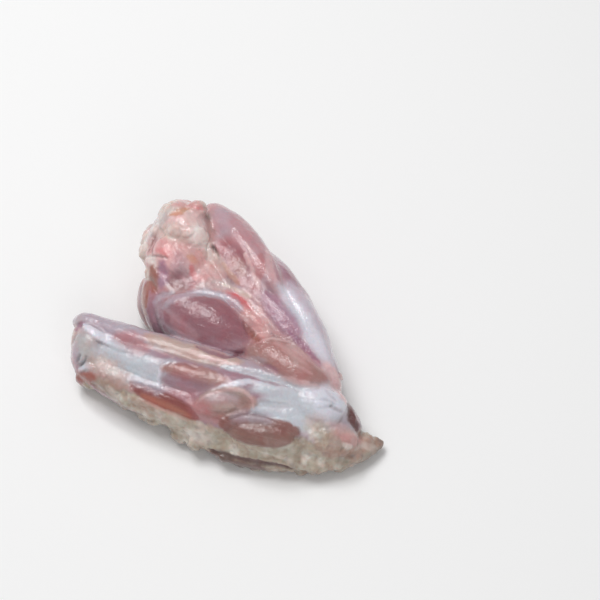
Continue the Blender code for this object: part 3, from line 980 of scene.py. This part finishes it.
def belly_distance(places, belly):
    """How far each place lies outside a belly, and its place along, across and above its middle line."""
    start, middle, end = (np.array(belly.limb.place(*place)) for place in belly[1:4])
    length = np.linalg.norm(end - start)
    share = np.linspace(0.0, 1.0, RINGS)
    steps = share[:, None]
    line = (
        start * (1 - steps) * (1 - 2 * steps)
        + middle * 4 * steps * (1 - steps)
        + end * steps * (2 * steps - 1)
    )
    ahead = np.gradient(line, axis=0)
    ahead /= np.linalg.norm(ahead, axis=1)[:, None]
    side = np.cross(ahead, (0.0, 0.0, 1.0))
    side /= np.linalg.norm(side, axis=1)[:, None]
    top = np.cross(side, ahead)

    nearest = np.argmin(((places[:, None] - line[None]) ** 2).sum(axis=2), axis=1)
    offset = places - line[nearest]
    step = (offset * ahead[nearest]).sum(axis=1)
    across = (offset * side[nearest]).sum(axis=1)
    above = (offset * top[nearest]).sum(axis=1)
    along = share[nearest] + step / length
    held = along.clip(0.0, 1.0)
    roundness = (4 * held * (1 - held)).clip(LEAST_ROUNDNESS)
    size = roundness**belly.bluntness * (1 + belly.swell * (2 * held - 1))
    span = np.hypot(across, above) + TINY
    radius = span / np.hypot(across / (belly.width / 2), above / (belly.thickness / 2)) * size
    beyond = (along - held) * length
    gap = np.hypot(span, beyond) - radius
    return gap, np.stack([along * length, across, above], axis=1)


def fuse(raw, fineness):
    """Fuses overlapping bellies and lumps into one soft skin, and keeps its largest piece."""
    remesh = raw.modifiers.new("fuse", "REMESH")
    remesh.mode = "VOXEL"
    remesh.voxel_size = fineness
    soften = raw.modifiers.new("soften", "SMOOTH")
    soften.factor = SOFTEN_STRENGTH
    soften.iterations = SOFTEN_PASSES
    fused = plain_mesh(raw)
    bpy.data.objects.remove(raw)

    body = bmesh.new()
    body.from_mesh(fused)
    bmesh.ops.triangulate(body, faces=body.faces)
    left = set(body.verts)
    islands = []
    while left:
        island, edge = set(), [left.pop()]
        while edge:
            vertex = edge.pop()
            island.add(vertex)
            for link in vertex.link_edges:
                other = link.other_vert(vertex)
                if other in left:
                    left.discard(other)
                    edge.append(other)
        islands.append(island)
    islands.sort(key=len)
    stray = [vertex for island in islands[:-1] for vertex in island]
    bmesh.ops.delete(body, geom=stray, context="VERTS")
    body.to_mesh(fused)
    body.free()
    return fused


def fat_share(meat, lumps):
    """How far each place is on a lump of fat."""
    places = [vertex.co / MM for vertex in lumps.vertices]
    tree = BVHTree.FromPolygons(places, [face.vertices[:] for face in lumps.polygons])
    reach = np.array([tree.find_nearest(place)[3] for place in meat.places.tolist()])
    return smoothstep(*FAT_REACH, reach + FAT_UNEVENNESS * meat.unevenness)


def sculpt(meat, fatty, marks, sizes):
    """Raises and sinks the meat: furrows between bellies, bundles, lobules of fat, and marks."""
    places, seed, lean = meat.places, sizes.seed, 1.0 - fatty
    crease = np.exp(-((meat.crease * MM / sizes.crease_width) ** 2))
    crease *= FURROW_SHARE + FURROW_BREAKS * noise(places, CREASE_BREAKS, seed)
    height = -sizes.crease_depth / MM * crease * (1.0 - FURROW_FILLING * fatty)
    height += sizes.fibre_relief / MM * rough_noise(meat.fibre * BUNDLE_STRETCH, BUNDLES, seed + 1) * lean
    height += sizes.fat_relief / MM * (2.0 * meat.lobules - 1.0) * fatty
    height += SWELLING_HEIGHT * noise(places, SWELLINGS, seed + 2) * lean
    height += DENT_HEIGHT * rough_noise(places, DENTS, seed + 3)
    for name, share in marks.items():
        height += MARKS[name].height * share
    meat.move_to(places + meat.normals * height[:, None])
    meat.untangle()


def colour(meat, fat, marks, colours):
    """Each place's colour, fattiness and silveriness."""
    pigments = [belly.pigment for belly in BELLIES.values()]
    tone = meat.blend.T @ np.array([list(getattr(colours, name)) for name in pigments])
    fatty = meat.blend.T @ np.array([FATTINESS.get(name, 0.0) for name in pigments])
    silvery = meat.blend.T @ np.array([SILVERINESS.get(name, 0.0) for name in pigments])

    def tint(share, name):
        nonlocal tone
        tone = tone + (np.array(getattr(colours, name)) - tone) * share[:, None]

    def lay(share, name):
        nonlocal fatty, silvery
        tint(share, name)
        fatty = fatty + (FATTINESS.get(name, 0.0) - fatty) * share
        silvery = silvery + (SILVERINESS.get(name, 0.0) - silvery) * share

    def seam(cover, width):
        return cover * np.exp(-((meat.crease / width) ** 2))

    streaks = noise(meat.fibre * STREAK_STRETCH, *SILVER_STREAKS)
    silverskin = smoothstep(*SILVERSKIN_RANGE, rough_noise(meat.places, *SILVERSKIN))
    silverskin *= smoothstep(*STREAK_RANGE, streaks)
    seam_kind = noise(meat.places, *SEAMS)
    height = meat.places[:, 2]
    lay(SILVERSKIN_COVER * silverskin, "pearl")
    lay(seam(*PALE_SEAM) * smoothstep(*PALE_SEAM_RANGE, seam_kind), "petal")
    # Painted shade: umber darkens the creases where one belly meets the next
    lay(seam(*PAINTED_SEAM_SHADE) * smoothstep(*PAINTED_SEAM_SHADE_RANGE, seam_kind), "umber")
    # Painted shade: bark darkens the meat towards the table, darker towards the bottom
    underside = smoothstep(*UNDERSIDE_SHADE_FADE, height + UNDERSIDE_SHADE_UNEVENNESS * meat.unevenness)
    lay(UNDERSIDE_SHADE_COVER * underside, "bark")
    lay(fat * meat.forearm_share, "butter")
    lay(fat * (1.0 - meat.forearm_share), "cream")
    for name, share in marks.items():
        lay(share * MARKS[name].cover, MARKS[name].pigment)

    # Painted shade: clay darkens the fat in the hollows between its lobules
    tint(LOBULE_HOLLOW_SHADE * fatty * smoothstep(*LOBULE_HOLLOW_SHADE_RANGE, meat.lobules), "clay")
    # Painted shade: bark darkens the fat where it turns under, darker towards the bottom
    turned_under_shade = smoothstep(*UNDER_FAT_SHADE_FADE, height + UNDER_FAT_SHADE_UNEVENNESS * meat.unevenness)
    tint(UNDER_FAT_SHADE * fatty * turned_under_shade, "bark")
    for blotch in FAT_BLOTCHES:
        spread = smoothstep(blotch.start, blotch.full, noise(meat.places, blotch.lumps, blotch.seed))
        tint(blotch.cover * fatty * spread * meat.plain_limb_share(blotch.limb), blotch.pigment)
    return tone, fatty, silvery


def store(mesh, name, kind, values):
    """Writes one value for each place of the mesh into a named attribute."""
    attribute = mesh.attributes.new(name, kind, "POINT")
    field = {"FLOAT": "value", "FLOAT_VECTOR": "vector", "FLOAT_COLOR": "color"}[kind]
    attribute.data.foreach_set(field, np.ascontiguousarray(values, dtype=np.float32).ravel())


def read_attribute(tree, name, output):
    """An output of the node that reads one of the meat's own attributes."""
    node = add_node(tree, "ShaderNodeAttribute", attribute_name=name, attribute_type="GEOMETRY")
    return node.outputs[output]


def mix_colours(tree, share, first, second):
    """One colour over another, by share."""
    inputs = {0: share, 6: first, 7: second}
    return add_node(tree, "ShaderNodeMix", inputs, data_type="RGBA").outputs[2]


def span(tree, value, low, high, new_low, new_high):
    """The value brought from one range to another, and held inside it."""
    inputs = {"Value": value, "From Min": low, "From Max": high, "To Min": new_low, "To Max": new_high}
    return add_node(tree, "ShaderNodeMapRange", inputs).outputs[0]


# The material's patterns: how many of their lumps lie on a millimetre. The first two lie along
# the fibres, and their first number is the scale along them.
BUNDLE_SCALES = (0.05, 0.5, 0.5)
STRAND_SCALES = (0.04, 0.38, 0.38)
MOTTLE_SCALE = 0.22
FAT_MOTTLE_SCALE = 0.45
FINE_SCALE = 1.4
WRINKLE_SCALE = 0.75
GRAIN_SCALE = 0.5

# Spans: the range of a pattern, and the range of shades or shares that it becomes
BUNDLE_SHADES = (0.3, 0.7, 0.93, 1.06)
STRAND_SHARES = (0.0, 0.02, 0.06, 0.0)
RED_SHARES = (0.38, 0.66, 0.0, 1.0)
FINE_SHADES = (0.3, 0.7, 0.96, 1.04)
FAT_SHARES = (0.4, 0.62, 0.0, 1.0)
GRAIN_SHADES = (0.2, 0.8, 1.03, 0.92)

# The strands' colour, and what redder meat and whiter and pinker fat multiply theirs by
STRAND_TONE = (0.75, 0.6, 0.6, 1.0)
REDDER = (1.05, 0.84, 0.86)
WHITER = (1.06, 1.06, 1.05)
PINKER = (0.96, 0.84, 0.8)

# Roughness of lean meat, and what fat and silverskin add to it
LEAN_ROUGHNESS = 0.36
FAT_ROUGHNESS = 0.12
SILVER_ROUGHNESS = -0.06

# Heights of the patterns under the wet film, in millimetres, of the film's own ripple, and how
# strongly the meat and the film show them
FIBRE_BUMP = 0.14
GRAIN_BUMP = -0.4
WRINKLE_BUMP = 0.25
FINE_BUMP = 0.05
FILM_RIPPLE = 0.22
MEAT_STRENGTH = 0.6
FILM_STRENGTH = 0.65

# How much of the fibres silverskin hides
SILVER_COVER = 0.8

SHADER_SETTINGS = {
    "Subsurface Weight": 0.3,
    "Subsurface Radius": (1.0, 0.4, 0.3),
    "Subsurface Scale": 1.5 * MM,
    "Specular IOR Level": 0.4,
    "Coat Weight": 1.0,
    "Coat Roughness": 0.07,
    "Coat IOR": 1.4,
}


def make_meat_material():
    """Wet raw meat: colour from the painted attributes, broken up by fibres, mottling and fat."""
    material = bpy.data.materials.new("wet_raw_meat")
    material.use_nodes = True
    tree = material.node_tree
    shader = tree.nodes["Principled BSDF"]
    tone = read_attribute(tree, "tone", "Color")
    fatty = read_attribute(tree, "fatty", "Fac")
    silvery = read_attribute(tree, "silvery", "Fac")
    fibre = read_attribute(tree, "fibre", "Vector")
    covered = calculate(tree, "MAXIMUM", fatty, calculate(tree, "MULTIPLY", silvery, SILVER_COVER))
    lean = calculate(tree, "SUBTRACT", 1.0, covered)
    here = add_node(tree, "ShaderNodeTexCoord").outputs["Object"]
    in_mm = calculate_vector(tree, "SCALE", here, scale=1.0 / MM)

    def cloud(where, scale, detail=3.0, roughness=0.5):
        inputs = {"Vector": where, "Scale": scale, "Detail": detail, "Roughness": roughness}
        return add_node(tree, "ShaderNodeTexNoise", inputs).outputs[0]

    bundles = cloud(calculate_vector(tree, "MULTIPLY", fibre, BUNDLE_SCALES), 1.0, roughness=0.6)
    strands = cloud(calculate_vector(tree, "MULTIPLY", fibre, STRAND_SCALES), 1.0, detail=2.0)
    mottle = cloud(in_mm, MOTTLE_SCALE)
    fat_mottle = cloud(in_mm, FAT_MOTTLE_SCALE)
    fine = cloud(in_mm, FINE_SCALE)
    wrinkles = cloud(in_mm, WRINKLE_SCALE)
    cells = {"Vector": in_mm, "Scale": GRAIN_SCALE, "Smoothness": 0.9}
    grain = add_node(tree, "ShaderNodeTexVoronoi", cells, feature="SMOOTH_F1").outputs["Distance"]

    shade = span(tree, bundles, *BUNDLE_SHADES)
    striped = mix_colours(tree, lean, tone, calculate_vector(tree, "SCALE", tone, scale=shade))
    off_middle = calculate(tree, "ABSOLUTE", calculate(tree, "SUBTRACT", strands, 0.5))
    strand_lines = calculate(tree, "MULTIPLY", span(tree, off_middle, *STRAND_SHARES), lean)
    stranded = mix_colours(tree, strand_lines, striped, STRAND_TONE)
    redder = calculate_vector(tree, "MULTIPLY", stranded, REDDER)
    red_share = calculate(tree, "MULTIPLY", span(tree, mottle, *RED_SHARES), lean)
    mottled = mix_colours(tree, red_share, stranded, redder)
    meaty = calculate_vector(tree, "SCALE", mottled, scale=span(tree, fine, *FINE_SHADES))
    whiter = calculate_vector(tree, "MULTIPLY", tone, WHITER)
    pinker = calculate_vector(tree, "MULTIPLY", tone, PINKER)
    fatty_tone = mix_colours(tree, span(tree, fat_mottle, *FAT_SHARES), whiter, pinker)
    grained = calculate_vector(tree, "SCALE", fatty_tone, scale=span(tree, grain, *GRAIN_SHADES))
    tree.links.new(mix_colours(tree, fatty, meaty, grained), shader.inputs["Base Color"])

    roughness = calculate(tree, "MULTIPLY_ADD", fatty, FAT_ROUGHNESS, LEAN_ROUGHNESS)
    roughness = calculate(tree, "MULTIPLY_ADD", silvery, SILVER_ROUGHNESS, roughness)
    tree.links.new(roughness, shader.inputs["Roughness"])

    def bump(height, strength, socket):
        inputs = {"Height": height, "Distance": MM, "Strength": strength}
        tree.links.new(add_node(tree, "ShaderNodeBump", inputs).outputs[0], shader.inputs[socket])

    fibres = calculate(tree, "MULTIPLY", calculate(tree, "MULTIPLY", bundles, lean), FIBRE_BUMP)
    grains = calculate(tree, "MULTIPLY", calculate(tree, "MULTIPLY", grain, fatty), GRAIN_BUMP)
    fine_lumps = calculate(tree, "MULTIPLY", fine, FINE_BUMP)
    wrinkled = calculate(tree, "MULTIPLY_ADD", wrinkles, WRINKLE_BUMP, fine_lumps)
    height = calculate(tree, "ADD", calculate(tree, "ADD", fibres, grains), wrinkled)
    bump(height, MEAT_STRENGTH, "Normal")
    bump(calculate(tree, "MULTIPLY_ADD", fine, FILM_RIPPLE, height), FILM_STRENGTH, "Coat Normal")
    for name, value in SHADER_SETTINGS.items():
        shader.inputs[name].default_value = value
    return material


def make_meat(sizes, colours):
    """The whole wing as one mesh with its colours."""
    material = make_meat_material()
    belly_tree = make_belly_tree()
    bellies = []
    for name, belly in BELLIES.items():
        inputs = {
            "Start": belly.limb.place(*belly.start) * MM,
            "Middle": belly.limb.place(*belly.middle) * MM,
            "End": belly.limb.place(*belly.end) * MM,
            "Width": belly.width * MM,
            "Thickness": belly.thickness * MM,
            "Bluntness": belly.bluntness,
            "Swell": float(belly.swell),
            "Rings": RINGS,
            "Sides": SIDES,
            "Material": material,
        }
        bellies.append(grow(name, belly_tree, inputs))

    lumps_tree = make_lumps_tree()
    lumps = []
    for index, line in enumerate([EDGE_LINE] + SHOULDER_LINES):
        inputs = {
            "Count": sizes.shoulder_lumps if index else sizes.edge_lumps,
            "Least Radius": sizes.least_lump,
            "Largest Radius": sizes.largest_lump,
            "Scatter": sizes.lump_scatter,
            "Seed": sizes.seed + index,
            "Material": material,
        }
        lumps.append(grow(f"fat_{index}", lumps_tree, inputs, line_mesh(f"fat_line_{index}", line)))
    fat_object = joined_object("fat_lumps", lumps)
    fused = fuse(joined_object("raw_bellies", bellies + [fat_object.data.copy()]), sizes.fineness)

    meat = Meat(fused)
    view = PhotoView()
    fat = fat_share(meat, fat_object.data)
    bpy.data.objects.remove(fat_object)
    marks = {name: meat.mark_share(view, name) for name in MARKS}
    tone, fatty, silvery = colour(meat, fat, marks, colours)
    sculpt(meat, fatty, marks, sizes)

    fused.shade_smooth()
    fused.materials.clear()
    fused.materials.append(material)
    store(fused, "tone", "FLOAT_COLOR", np.hstack([tone, np.ones((len(tone), 1))]))
    store(fused, "fatty", "FLOAT", fatty)
    store(fused, "silvery", "FLOAT", silvery)
    store(fused, "fibre", "FLOAT_VECTOR", meat.fibre)
    wing = bpy.data.objects.new("raw_wing", fused)
    bpy.context.scene.collection.objects.link(wing)
    return wing


def add_light(name, place, size, power, gloss):
    """A square soft light that points at the wing."""
    light = bpy.data.lights.new(name, "AREA")
    light.size = size
    light.energy = power
    light.specular_factor = gloss
    lamp = bpy.data.objects.new(name, light)
    lamp.location = place
    lamp.rotation_euler = (-Vector(place)).to_track_quat("-Z", "Y").to_euler()
    bpy.context.scene.collection.objects.link(lamp)


# The stage, in metres. Each light: its place, size, power and share in highlights.
LIGHTS = {
    "key": ((-0.25, 0.25, 0.85), 0.5, 4.6, 0.4),
    "glint": ((-0.2, 0.42, 0.88), 0.12, 0.7, 0.7),
    "fill": ((0.2, -0.75, 0.5), 0.6, 1.4, 0.3),
}
ROOM_COLOUR = (1.0, 1.0, 1.0, 1.0)
ROOM_STRENGTH = 0.34
FLOOR_HALF = 2.0
FLOOR_HEIGHT = -0.1 * MM
FLOOR_COLOUR = (0.95, 0.95, 0.95, 1.0)
FLOOR_ROUGHNESS = 0.8
NEAREST_SEEN = 0.01


class WING_OT_lay_meat(bpy.types.Operator):
    """Lay, fuse, sculpt and colour the wing's meat"""

    bl_idname = "wing.lay_meat"
    bl_label = "Wing"

    def execute(self, context):
        wing = make_meat(context.scene.wing_sizes, context.scene.wing_colours)
        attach(wing, "root")
        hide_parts(WING_NODE)
        return {"FINISHED"}


class WING_OT_set_stage(bpy.types.Operator):
    """Set the floor, the lights, the pale surroundings and the camera"""

    bl_idname = "wing.set_stage"
    bl_label = "Stage"

    def execute(self, context):
        self.add_floor()
        for name, light in LIGHTS.items():
            add_light(name, *light)
        world = bpy.data.worlds.new("pale_room")
        world.use_nodes = True
        background = world.node_tree.nodes["Background"]
        background.inputs["Color"].default_value = ROOM_COLOUR
        background.inputs["Strength"].default_value = ROOM_STRENGTH
        context.scene.world = world
        context.scene.view_settings.view_transform = "Standard"
        self.add_camera(context)
        return {"FINISHED"}

    def add_floor(self):
        mesh = bpy.data.meshes.new("floor")
        signs = ((-1, -1), (1, -1), (1, 1), (-1, 1))
        corners = [(x * FLOOR_HALF, y * FLOOR_HALF, FLOOR_HEIGHT) for x, y in signs]
        mesh.from_pydata(corners, [], [(0, 1, 2, 3)])
        material = bpy.data.materials.new("pale_floor")
        material.use_nodes = True
        shader = material.node_tree.nodes["Principled BSDF"]
        shader.inputs["Base Color"].default_value = FLOOR_COLOUR
        shader.inputs["Roughness"].default_value = FLOOR_ROUGHNESS
        mesh.materials.append(material)
        floor = bpy.data.objects.new("floor", mesh)
        bpy.context.scene.collection.objects.link(floor)

    def add_camera(self, context):
        view = PhotoView()
        data = bpy.data.cameras.new("photo_camera")
        data.sensor_width = SENSOR_WIDTH
        data.lens = SENSOR_WIDTH * view.focal / PHOTO_SIZE
        data.clip_start = NEAREST_SEEN
        camera = bpy.data.objects.new("photo_camera", data)
        camera.location = view.eye * MM
        camera.rotation_euler = (-view.back).to_track_quat("-Z", "Y").to_euler()
        context.scene.collection.objects.link(camera)
        context.scene.camera = camera


class WING_PT_panel(bpy.types.Panel):
    """Builds the wing and shows its sizes and colours"""

    bl_idname = "WING_PT_panel"
    bl_label = "Raw Chicken Wing"
    bl_space_type = "VIEW_3D"
    bl_region_type = "UI"
    bl_category = "Wing"

    def draw(self, context):
        for operator in OPERATORS:
            self.layout.operator(operator.bl_idname)
        for group in (context.scene.wing_sizes, context.scene.wing_colours):
            for name in group.bl_rna.properties.keys():
                if name not in ("rna_type", "name"):
                    self.layout.prop(group, name)


OPERATORS = (WING_OT_lay_meat, WING_OT_set_stage)
CLASSES = (WingColours, WingSizes, *OPERATORS, WING_PT_panel)


def register():
    for kind in CLASSES:
        bpy.utils.register_class(kind)
    bpy.types.Scene.wing_sizes = PointerProperty(type=WingSizes)
    bpy.types.Scene.wing_colours = PointerProperty(type=WingColours)


def unregister():
    del bpy.types.Scene.wing_sizes
    del bpy.types.Scene.wing_colours
    for kind in reversed(CLASSES):
        bpy.utils.unregister_class(kind)


def main():
    register()
    bpy.ops.wing.lay_meat()
    bpy.ops.wing.set_stage()


if __name__ == "__main__":
    main()
